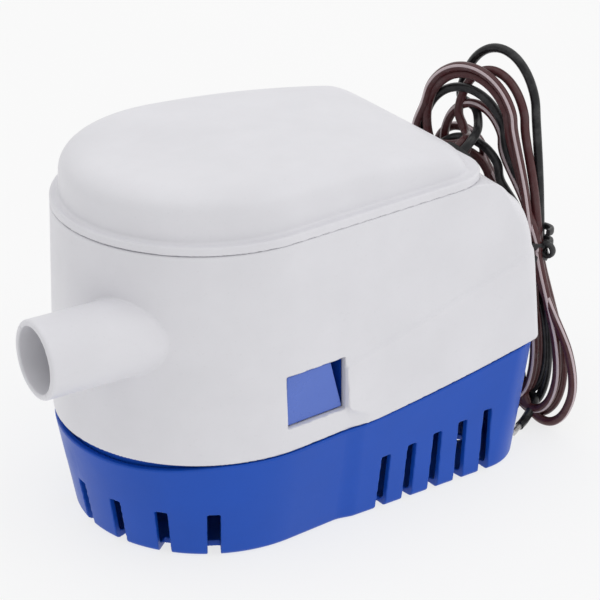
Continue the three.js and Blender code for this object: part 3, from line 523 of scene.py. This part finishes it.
MATERIALS = {
    "housing_white": moulded("housing_white", WHITE, 0.4),
    "strainer_blue": moulded("strainer_blue", BLUE, 0.36, 0.1, 0.05, 0.28),
    "tab_blue": moulded("tab_blue", TAB_BLUE, 0.3, 0.1, 0.05),
    "pump_plastic": moulded("pump_plastic", (0.62, 0.62, 0.62), 0.5, 0.2),
    "float_plastic": moulded("float_plastic", (0.66, 0.66, 0.64), 0.55, 0.3),
    "black_plastic": moulded("black_plastic", (0.016, 0.016, 0.018), 0.45, 0.3, 0.1),
    "black_rubber": rubber("black_rubber"),
    "stainless": brushed("stainless", (0.6, 0.6, 0.61), 0.3),
    "zinc_steel": brushed("zinc_steel", (0.5, 0.53, 0.56), 0.42, (40, 40, 700)),
    "lamination_steel": banded("lamination_steel", (0.12, 0.12, 0.13), (0.42, 0.42, 0.44),
                               0.0005, "Z", 0.9, 0.45),
    "ferrite": granular("ferrite", (0.035, 0.035, 0.04), 1500, 0.0001, 0.7),
    "carbon": granular("carbon", (0.02, 0.02, 0.02), 2400, 0.0001, 0.6),
    "sintered_bronze": granular("sintered_bronze", (0.42, 0.25, 0.11), 2200, 0.0001, 0.4, 1.0),
    "copper": banded("copper", (0.3, 0.1, 0.035), (0.75, 0.34, 0.15), 0.0006, "Z", 1.0, 0.32),
    "terminal_brass": brushed("terminal_brass", (0.62, 0.45, 0.18), 0.35),
    "circuit_board": circuit_board("circuit_board"),
    "reed_glass": glass("reed_glass"),
    "wire_black": wire_cover("wire_black", BLACK),
    "wire_brown": wire_cover("wire_brown", MAROON),
    "wire_striped": wire_cover("wire_striped", MAROON),
    "wire_stripe": wire_cover("wire_stripe", STRIPE, 0.36),
    "tinned_copper": brushed("tinned_copper", (0.62, 0.61, 0.6), 0.3, (900, 900, 900)),
    "tie_black": moulded("tie_black", (0.014, 0.014, 0.015), 0.42, 0.2, 0.1),
}

for entry in frame["record"]["subparts"]:
    node = NODES[entry["node"]]
    node.data.materials.clear()
    node.data.materials.append(MATERIALS[entry["material_slot"]])

# ---------------------------------------------------------------------------------------------
# Solid shapes as distance fields: each takes arrays of millimetres and is negative inside
# ---------------------------------------------------------------------------------------------

TAPER = math.radians(5.4)
SIN_T, COS_T = math.sin(TAPER), math.cos(TAPER)


def smoothstep(value, low, high):
    t = np.clip((value - low) / (high - low), 0, 1)
    return t * t * (3 - 2 * t)


def both(a, b, r=0.0):
    """Where a and b both hold, with the edge between them rounded to radius r."""
    sharp = np.maximum(a, b)
    if np.ndim(r) == 0 and r == 0:
        return sharp
    return np.minimum(-r, sharp) + np.hypot(np.maximum(r + a, 0), np.maximum(r + b, 0))


def either(a, b, r=0.0):
    """Where a or b holds, with a fillet of radius r between them."""
    if r == 0:
        return np.minimum(a, b)
    return -both(-a, -b, r)


def without(a, b, r=0.0):
    return both(a, -b, r)


def span(value, low, high):
    return np.maximum(low - value, value - high)


def bar(a, b, radius):
    return np.hypot(a, b) - radius


def plan(x, y, radius, rear, corner, taper=TAPER):
    """The housing's outline seen from above: a front arc, two tapering sides and round rear corners."""
    y = np.abs(y)
    along = x * np.cos(taper) - y * np.sin(taper)
    side = x * np.sin(taper) + y * np.cos(taper)
    front = np.where(along < 0, np.hypot(x, y), side) - radius
    return both(front, x - rear, corner)


def side_plane(x, y):
    """Along a side wall, and out of it, for whichever side a point is nearer."""
    y = np.abs(y)
    return x * COS_T - y * SIN_T, x * SIN_T + y * COS_T


RIM_Z, DECK_Z = 43.6, 121.1
WALL = 2.6
FLARE_START = 26.4          # where the skirt begins, just behind the latch window
ROOF_RADIUS = 37.0
WINDOW = {"s": (-5.3, 20.7), "z": (51.0, 71.4)}
POCKET = {"s": (-7.5, 22.6), "c": (46.5, 54.2), "top": 74.0, "wall": 2.0}
BAY_FRONT, BAY_CEILING = 49.4, 118.4
FLOAT_PIN = {"x": 56.0, "z": 60.0, "radius": 2.3}
SPIGOT = {"y": -26.4, "z": 88.0, "mouth": -82.9, "radius": 14.3, "bore": 12.0}
SCREW_PLACES = [(-35.7, -35.7), (-35.7, 35.7), (43, -27), (43, 27)]


def rim_height(x):
    """The rim rises gently to the window, and more and more behind it."""
    behind = np.maximum(x - FLARE_START, 0)
    return 42.3 + 0.018 * (x - FLARE_START) + behind * (0.037 + 0.0005 * behind)


def ridge_height(x):
    return 62.5 + 0.212 * x


def housing_radius(z):
    return lerp(57.5, 55.1, (z - RIM_Z) / (DECK_Z - RIM_Z))


def housing_rear(z):
    return lerp(124.0, 122.6, (z - RIM_Z) / (DECK_Z - RIM_Z))


def housing_corner(z):
    return lerp(6.2, 15.0, (z - RIM_Z) / (DECK_Z - RIM_Z))


def roof(x, z, inset=0.0):
    """Under the deck and the arc that slopes down from it to the rear wall."""
    return both(x - 123.5, z - DECK_Z, ROOF_RADIUS) + inset


def housing_outside(x, y, z, crown, edge):
    """The body under its sloping roof, with the hose spigot on it."""
    # The skirt leans out below a ridge line that climbs to the rear, from a small step behind the window.
    reach = ridge_height(x) - rim_height(x)
    height = np.clip((ridge_height(x) - z) / reach, -1, 1)
    step_width = lerp(12.0, 0.8, smoothstep(z, 45, 52))
    started = smoothstep(x, FLARE_START - 0.4, FLARE_START - 0.4 + step_width)
    lean = 0.5 * (height + np.sqrt(height * height + 0.002))
    shoulder = smoothstep(height * reach, -0.6, 1.2)
    grow = started * (0.85 * shoulder + 1.25 * np.minimum(lean, 1))
    wall = plan(x, y, housing_radius(z) + grow, housing_rear(z) + 0.38 * grow, housing_corner(z))
    shell = both(wall, roof(x, z + crown), edge)
    pipe = both(bar(y - SPIGOT["y"], z - SPIGOT["z"], SPIGOT["radius"]), SPIGOT["mouth"] - x, 1.3)
    pipe = np.maximum(pipe, x + 38)
    shell = either(shell, pipe, 0.8)
    return both(shell, rim_height(x) - z, 0.5)


def housing(x, y, z):
    # Behind the cap the roof is crowned, and its edge with the walls is soft instead of crisp.
    crown = 0.0018 * y * y * smoothstep(x, 97, 110)
    edge = 0.5 + 6.0 * smoothstep(x, 98, 112)
    shell = housing_outside(x, y, z, crown, edge)
    s, c = side_plane(x, y)
    inner = plan(x, y, housing_radius(z) - WALL, housing_rear(z) - WALL, housing_corner(z) - WALL)
    jacket = np.maximum(np.maximum(inner, x - 47), z - BAY_CEILING)
    well = np.maximum(bar(x, y, 21.6), 56.5 - z)
    front, rear = POCKET["s"]
    around = span(s, front - POCKET["wall"], rear + POCKET["wall"])
    inside = POCKET["c"][0] - POCKET["wall"] - c
    above = z - POCKET["top"] - POCKET["wall"]
    pocket_wall = np.maximum(np.maximum(around, inside), above)
    jacket = without(without(jacket, well, 1.0), pocket_wall)
    for px, py in SCREW_PLACES:
        jacket = without(jacket, np.maximum(bar(x - px, y - py, 5), 46.4 - z))
    float_bay = np.maximum(np.maximum(inner, BAY_FRONT - x), z - 88)
    lug = np.maximum(np.maximum(x - 61, span(np.abs(y), 26, 29.6)), np.abs(z - FLOAT_PIN["z"]) - 4.5)
    float_bay = without(float_bay, lug)
    switch_bay = both(inner, roof(x, z + crown, WALL), edge)
    switch_bay = np.maximum(switch_bay, np.maximum(BAY_FRONT - x, span(z, 90.6, BAY_CEILING)))
    opening = np.maximum(span(x, 62, 84), np.maximum(np.abs(y) - 15, 110 - z))
    for hollow in (jacket, float_bay, switch_bay, opening):
        shell = without(shell, hollow, 0.3)
    bore = np.maximum(bar(y - SPIGOT["y"], z - SPIGOT["z"], SPIGOT["bore"]), x + 32)
    shell = without(shell, bore, 0.8)
    motor_space = np.maximum(bar(x, y, 19), 61.5 - z)
    shell = without(shell, motor_space, 0.3)
    shell = without(shell, np.maximum(bar(x, y, 6.3), 57.8 - z))
    shell = without(shell, bar(x, y, 2.5))
    pocket = np.maximum(np.maximum(span(s, *POCKET["s"]), span(c, *POCKET["c"])), z - POCKET["top"])
    shell = without(shell, pocket)
    window = both(span(s, *WINDOW["s"]), span(z, *WINDOW["z"]), 0.4)
    shell = without(shell, np.maximum(window, 50 - c), 0.25)
    pin_hole = bar(x - FLOAT_PIN["x"], z - FLOAT_PIN["z"], FLOAT_PIN["radius"])
    shell = without(shell, np.maximum(pin_hole, np.abs(y) - 29.3))
    diagonal = math.sqrt(0.5)
    out = (x - 86.5) * diagonal + (z - 84) * diagonal
    across = (x - 86.5) * diagonal - (z - 84) * diagonal
    grommet_hole = np.maximum(bar(across, y, 6.8), 25 - out)
    return without(shell, grommet_hole)


CAP = {
    "radius": 51.6, "rear": 96.0, "corner": 18.0, "crest": 141.5,
    "flange_radius": 55.1, "flange_rear": 98.5, "flange_top": 124.4, "flange_under": 121.4,
}


def crest_height(x):
    """The cap's top, which falls away to the rear and rolls over at its end."""
    fall = np.where(x > 10, 0.0011, 0.0004) * (x - 10) ** 2
    roll = 18.0
    past = np.clip(x - (CAP["rear"] - roll), 0, roll - 0.4)
    return CAP["crest"] - fall - (roll - np.sqrt(roll * roll - past * past))


def dome(x, y, z, inset=0.0):
    """A wall that turns into a nearly flat top through a broad soft shoulder."""
    wall = plan(x, y, CAP["radius"] - inset, CAP["rear"] - inset, CAP["corner"] - inset)
    top = z - (crest_height(x) - inset - 0.00012 * y * y)
    reach, drop, power = 13.0, 9.0, 2.7
    u = np.maximum(wall + reach, 0) / reach
    v = np.maximum(top + drop, 0) / drop
    rounded = (u ** power + v ** power) ** (1 / power) - 1
    inside = np.maximum(wall / reach, top / drop)
    return drop * np.where((u > 0) | (v > 0), rounded, inside)


def cap(x, y, z):
    outline = plan(x, y, CAP["flange_radius"], CAP["flange_rear"], CAP["corner"])
    body = either(both(outline, z - CAP["flange_top"], 0.9), dome(x, y, z), 1.1)
    # The shadow line under the flange narrows to the rear.
    body = both(body, CAP["flange_under"] - 0.24 * smoothstep(x, -40, 30) - z, 0.15)
    return without(body, dome(x, y, z, WALL))


BASE_TOP = 42.5
BASE_WALL, BASE_FLOOR = 2.4, 2.6
JOG_START, JOG_END = 25.5, 34.5
REAR_TAPER = math.radians(1.4)


def base_section(x, y, z, radii, tapers, inset):
    """One drafted section of the base, between its outline at floor level and its outline at the top."""
    t = z / BASE_TOP
    rear = lerp(118.6, 123.6, t)
    return plan(x, y, lerp(*radii, t) - inset, rear - inset, lerp(20.0, 16.5, t) - inset, lerp(*tapers, t))


def base_block(x, y, z, inset, floor):
    """The drafted body, and the prouder rear section that starts at a soft jog in each side."""
    body = base_section(x, y, z, (50.7, 58.2), (TAPER, TAPER), inset)
    rear = base_section(x, y, z, (50.5, 59.2), (REAR_TAPER, TAPER), inset)
    return both(lerp(body, rear, smoothstep(x, JOG_START + inset, JOG_END + inset)), floor - z, 2.0)


SLOT_PITCH, SLOT_RISE = 12.27, 0.08
SIDE_SLOTS = [(41 + SLOT_PITCH * i, 24 + SLOT_RISE * SLOT_PITCH * i) for i in range(5)]
FRONT_SLOTS = [math.pi + math.radians(20.6) * (i - 3) for i in range(7)]
REAR_SLOTS = [-14, 0, 14]
BASE_SCREWS = [(-34, 0), (-6, -34), (-6, 34), (100, -24), (100, 24)]


def base(x, y, z):
    s, c = side_plane(x, y)
    edge = rim_height(x) - 0.5 - 3.2 * smoothstep(-x, 20, 55)
    block = both(base_block(x, y, z, 0.0, 0.0), z - edge, 0.7)
    shell = without(block, base_block(x, y, z, BASE_WALL, BASE_FLOOR), 0.3)
    # An inner lip stands up behind the shadow gap under the housing's rim.
    lip = span(plan(x, y, 54.2, 120.4, 16.0), -1.6, 0)
    lip = np.maximum(np.maximum(lip, span(z, 33, 42.6)), span(x, -60, 46))
    shell = either(shell, lip, 0.4)
    for place, top in SIDE_SLOTS:
        slot = both(np.abs(s - place) - (2.3 - 0.01 * z), z - top, 0.6)
        shell = without(shell, np.maximum(slot, 48.5 - c), 0.25)
    for angle in FRONT_SLOTS:
        out = x * math.cos(angle) + y * math.sin(angle)
        across = y * math.cos(angle) - x * math.sin(angle)
        slot = both(np.abs(across) - 2.4, z - 19, 0.6)
        shell = without(shell, np.maximum(slot, 44 - out), 0.25)
    for place in REAR_SLOTS:
        slot = both(np.abs(y - place) - 2.0, z - 27, 0.6)
        shell = without(shell, np.maximum(slot, 110 - x), 0.25)
    for px, py in BASE_SCREWS:
        shell = without(shell, np.maximum(bar(x - px, y - py, 2.4), z - 5), 0.3)
    # Behind each latch a tongue stands up, and a thin screen closes its window to the inside.
    latch_width = span(s, -6.5, 22.3)
    tongue = np.maximum(span(c, 50.6, 53.4), span(z, 31, 46.8))
    screen = np.maximum(span(c, 46.8, 47.8), span(z, 31, 68.4))
    fin = np.maximum(np.maximum(span(c, 46.8, 53.2), 21.2 - s), span(z, 31, 73.2))
    screen = np.minimum(screen, fin)
    foot = np.maximum(span(c, 46.8, 55.2), span(z, 31, 39))
    shell = either(shell, np.maximum(latch_width, np.minimum(np.minimum(tongue, screen), foot)))
    for side in (-16, 16):
        stop = np.maximum(bar(x - 98, y - side, 3), span(z, 2, 33.7))
        shell = either(shell, stop, 0.5)
    return shell


TAB = {"face": 55.6, "back": 51.2, "leg_face": 53.2, "root": 47.1}


def latch_tab(side):
    """A pad that fills the window but for a slanted gap at its rear, on a thin sprung leg."""
    (s0, s1), (z0, z1) = WINDOW["s"], WINDOW["z"]
    slant = math.atan2(5.2, z1 - z0 - 1)

    def field(x, y, z):
        s, c = side_plane(x, y)
        rear = (s - (s1 - 0.5)) * math.cos(slant) + (z - (z0 + 0.5)) * math.sin(slant)
        outline = both(both(rear, s0 + 0.5 - s, 0.7), span(z, z0 + 0.5, z1 - 0.5), 0.7)
        dish = 0.35 * np.exp(-((s - 6.0) / 9.0) ** 2 - ((z - 61.5) / 6.5) ** 2)
        pad = both(outline, span(c, TAB["back"], TAB["face"] - dish), 0.5)
        leg = both(span(s, s0 + 1.8, s1 - 2.5), span(c, TAB["back"], TAB["leg_face"]), 0.3)
        leg = np.maximum(leg, span(z, TAB["root"], z0 + 1))
        return np.maximum(either(pad, leg, 0.6), -side * y)

    return field


def float_chamber(x, y, z):
    """The float: a soft-edged hollow block on two arms, with a moulded recess and ribs on its sides."""
    block = both(both(span(x, 62, 108), np.abs(y) - 30, 5.0), span(z, 34, 58), 2.4)
    ribs = np.abs(np.mod(y + 5, 10) - 5) - 0.7
    recess = np.maximum(span(x, 67, 103), 56.9 - z)
    block = without(block, without(recess, ribs, 0.3), 0.3)
    arm = both(span(x, 52.4, 66), span(z, 55.4, 64.4), 2.0)
    arm = both(arm, np.abs(np.abs(y) - 22.6) - 2.2, 0.5)
    body = either(block, arm, 1.0)
    body = without(body, bar(x - FLOAT_PIN["x"], z - FLOAT_PIN["z"], FLOAT_PIN["radius"]))
    return without(body, np.maximum(bar(x - 84, y, 4.3), 53 - z))


# ---------------------------------------------------------------------------------------------
# From a field to a mesh
# ---------------------------------------------------------------------------------------------


def sample(field, axes):
    """Field values on a grid, worked out in full only near the surface."""
    step, band = 4, 2.2
    coarse = [axis[::step] for axis in axes]
    shape = tuple(len(axis) for axis in axes)
    rough = field(*np.meshgrid(*coarse, indexing="ij")).astype(np.float32)
    for dim in range(3):
        rough = np.repeat(rough, step, axis=dim)
    rough = rough[tuple(slice(0, n) for n in shape)]
    pitch = axes[0][1] - axes[0][0]
    near = np.abs(rough) < pitch * step * band
    values = rough.copy()
    i, j, k = np.nonzero(near)
    block = 400000
    for start in range(0, len(i), block):
        part = slice(start, start + block)
        a, b, c = i[part], j[part], k[part]
        values[a, b, c] = field(axes[0][a], axes[1][b], axes[2][c])
    return values


CORNERS = [(a, b, c) for a in (0, 1) for b in (0, 1) for c in (0, 1)]
EDGES = [(m, n) for m in range(8) for n in range(m + 1, 8)
         if sum(abs(p - q) for p, q in zip(CORNERS[m], CORNERS[n])) == 1]


def surface(field, low, high, pitch):
    """Vertices and quads of a field's zero surface, one vertex to each cell that it passes through."""
    axes = [np.arange(lo, hi + pitch, pitch) for lo, hi in zip(low, high)]
    values = sample(field, axes)
    inside = values < 0
    cells = tuple(n - 1 for n in values.shape)
    count = np.zeros(cells, np.uint8)
    for a, b, c in CORNERS:
        count += inside[a:a + cells[0], b:b + cells[1], c:c + cells[2]]
    i, j, k = np.nonzero((count > 0) & (count < 8))
    number = np.full(cells, -1, np.int64)
    number[i, j, k] = np.arange(len(i))
    corner_values = [values[i + a, j + b, k + c] for a, b, c in CORNERS]
    total = np.zeros((len(i), 3))
    hits = np.zeros(len(i))
    for m, n in EDGES:
        first, second = corner_values[m], corner_values[n]
        crossed = (first < 0) != (second < 0)
        t = np.where(crossed, first / np.where(crossed, first - second, 1), 0)
        for dim in range(3):
            total[:, dim] += np.where(crossed, lerp(CORNERS[m][dim], CORNERS[n][dim], t), 0)
        hits += crossed
    local = total / hits[:, None]
    start = np.array([axis[0] for axis in axes])
    points = start + (np.stack([i, j, k], 1) + local) * pitch
    quads = []
    for dim in range(3):
        one, two = (dim + 1) % 3, (dim + 2) % 3
        here = [slice(1, -1)] * 3
        here[dim] = slice(0, -1)
        there = list(here)
        there[dim] = slice(1, None)
        here, there = tuple(here), tuple(there)
        for flip in (False, True):
            change = (inside[here] & ~inside[there]) if not flip else (~inside[here] & inside[there])
            at = np.array(np.nonzero(change)).T
            at[:, one] += 1
            at[:, two] += 1
            ring = []
            for da, db in ((0, 0), (-1, 0), (-1, -1), (0, -1)):
                cell = at.copy()
                cell[:, one] += da
                cell[:, two] += db
                ring.append(number[cell[:, 0], cell[:, 1], cell[:, 2]])
            if flip:
                ring.reverse()
            quads.append(np.stack(ring, 1))
    return points, np.concatenate(quads)


def gradient(field, points, reach):
    out = np.empty_like(points)
    for dim in range(3):
        offset = np.zeros(3)
        offset[dim] = reach
        out[:, dim] = field(*(points + offset).T) - field(*(points - offset).T)
    return out / (2 * reach)


def settle(field, points, limit, rounds=2):
    """Moves vertices onto the true surface, each by no more than limit."""
    for _ in range(rounds):
        slope = gradient(field, points, 0.05)
        size = np.maximum((slope ** 2).sum(1), 0.05)
        step = slope * (field(*points.T) / size)[:, None]
        length = np.linalg.norm(step, axis=1)
        step *= np.minimum(1, limit / np.maximum(length, 1e-9))[:, None]
        points = points - step
    return points


def field_piece(name, field, low, high, pitch, keep, material, body, *nodes):
    """A mesh of a field, thinned where it is flat, with normals from the field itself."""
    points, quads = surface(field, low, high, pitch)
    points = settle(field, points, 0.45 * pitch)
    mesh = bpy.data.meshes.new(name)
    mesh.from_pydata(points.tolist(), [], quads.tolist())
    mesh.update()
    obj = bpy.data.objects.new(name, mesh)
    bpy.context.scene.collection.objects.link(obj)
    thin = obj.modifiers.new("thin", "DECIMATE")
    thin.ratio = keep
    thinned = bpy.data.meshes.new_from_object(obj.evaluated_get(bpy.context.evaluated_depsgraph_get()))
    thinned.name = name
    obj.modifiers.clear()
    obj.data = thinned
    bpy.data.meshes.remove(mesh)
    place = np.empty(len(thinned.vertices) * 3)
    thinned.vertices.foreach_get("co", place)
    place = settle(field, place.reshape(-1, 3), 0.2 * pitch, 1)
    normals = gradient(field, place, 0.12)
    normals /= np.maximum(np.linalg.norm(normals, axis=1), 1e-9)[:, None]
    thinned.vertices.foreach_set("co", to_frame(place).ravel())
    thinned.polygons.foreach_set("use_smooth", [True] * len(thinned.polygons))
    thinned.update()
    thinned.normals_split_custom_set_from_vertices(normals.tolist())
    return finish_piece(obj, material, body, *nodes)


def finish_piece(obj, material, body, *nodes):
    obj.data.materials.clear()
    obj.data.materials.append(MATERIALS[material])
    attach(obj, body)
    if nodes:
        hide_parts(*nodes)
    return obj


for wire_name, cord, riders in wire_pieces:
    own = [f"wire_lead_{wire_name}", f"wire_tail_{wire_name}"]
    finish_piece(cord, f"wire_{wire_name}", "root", "wire_hank", *own)
    finish_piece(riders[0], "tinned_copper", "root", f"wire_tip_{wire_name}")
    for stripe in riders[1:]:
        finish_piece(stripe, "wire_stripe", "root")
finish_piece(tie_band, "tie_black", "root", "wire_tie")

field_piece("housing_body", housing, (-85, -61, 38), (127, 61, 123), 0.7, 0.3,
            "housing_white", "root", "main_housing")
field_piece("cap_cover", cap, (-58, -58, 119), (104, 58, 144), 0.6, 0.3,
            "housing_white", "root", "top_cap")
field_piece("strainer_body", base, (-62, -62, -2), (127, 62, 75), 0.6, 0.3,
            "strainer_blue", "root", "strainer_base")
for name, side, body in (("near", -1, "latch_near"), ("far", 1, "latch_far")):
    low = (-8, -60, 45) if side < 0 else (-8, 45, 45)
    high = (28, -45, 73) if side < 0 else (28, 60, 73)
    field_piece(f"tab_{name}", latch_tab(side), low, high, 0.35, 0.4,
                "tab_blue", body, f"latch_tab_{name}")
field_piece("float_block", float_chamber, (50, -32, 32), (110, 32, 66), 0.6, 0.4,
            "float_plastic", "float_arm", "float")

# ---------------------------------------------------------------------------------------------
# Floor and light
# ---------------------------------------------------------------------------------------------


def backdrop():
    """A pale floor that curves up into a wall behind."""
    rings = []
    for x in (-4, 4):
        line = [(x, -3, 0)]
        for i in range(13):
            angle = (math.pi / 2) * i / 12
            line.append((x, 2.2 + math.sin(angle), 1 - math.cos(angle)))
        line.append((x, 3.2, 4))
        rings.append(line)
    count = len(rings[0])
    mesh = bpy.data.meshes.new("floor")
    faces = [(i, i + 1, count + i + 1, count + i) for i in range(count - 1)]
    mesh.from_pydata([point for line in rings for point in line], [], faces)
    mesh.polygons.foreach_set("use_smooth", [True] * len(mesh.polygons))
    floor = bpy.data.objects.new("floor", mesh)
    bpy.context.scene.collection.objects.link(floor)
    n = Nodes("floor")
    n.colour(n.mix(n.spread(n.noise(3, 3), 0, 1), (0.20,) * 3, (0.21,) * 3))
    n.set(Roughness=0.9, Specular_IOR_Level=0.1, Emission_Color=(1, 1, 1, 1), Emission_Strength=0.745)
    mesh.materials.append(n.material)
    floor.rotation_euler = (0, 0, AZIMUTH)


def area_light(name, place, aim, size, power):
    data = bpy.data.lights.new(name, "AREA")
    data.shape = "RECTANGLE"
    data.size, data.size_y = size
    data.energy = power
    light = bpy.data.objects.new(name, data)
    light.location = place
    light.rotation_euler = (Vector(aim) - Vector(place)).to_track_quat("-Z", "Y").to_euler()
    bpy.context.scene.collection.objects.link(light)


backdrop()
area_light("key", (0.7, -0.9, 1.2), (0, 0, 0.05), (1.2, 1.2), 1.9)
area_light("top", (-0.3, 0.3, 1.4), (0, 0, 0.08), (1.0, 1.0), 1.4)

# The studio's light grows from its dim side to its bright side.
DIM, BRIGHT = 0.5, 1.09
world = bpy.data.worlds.new("studio")
bpy.context.scene.world = world
world.use_nodes = True
tree = world.node_tree
toward = tree.nodes.new("ShaderNodeTexCoord")
slope = tree.nodes.new("ShaderNodeVectorMath")
slope.operation = "DOT_PRODUCT"
slope.inputs[1].default_value = (0.85, 0.1, 0.5)
level = tree.nodes.new("ShaderNodeMapRange")
level.inputs["From Min"].default_value = -1
level.inputs["From Max"].default_value = 1
level.inputs["To Min"].default_value = DIM
level.inputs["To Max"].default_value = BRIGHT
tree.links.new(toward.outputs["Generated"], slope.inputs[0])
tree.links.new(slope.outputs["Value"], level.inputs["Value"])
tree.links.new(level.outputs["Result"], tree.nodes["Background"].inputs["Strength"])
tree.nodes["Background"].inputs["Color"].default_value = (1, 1, 1, 1)
bpy.context.scene.view_settings.view_transform = "Standard"
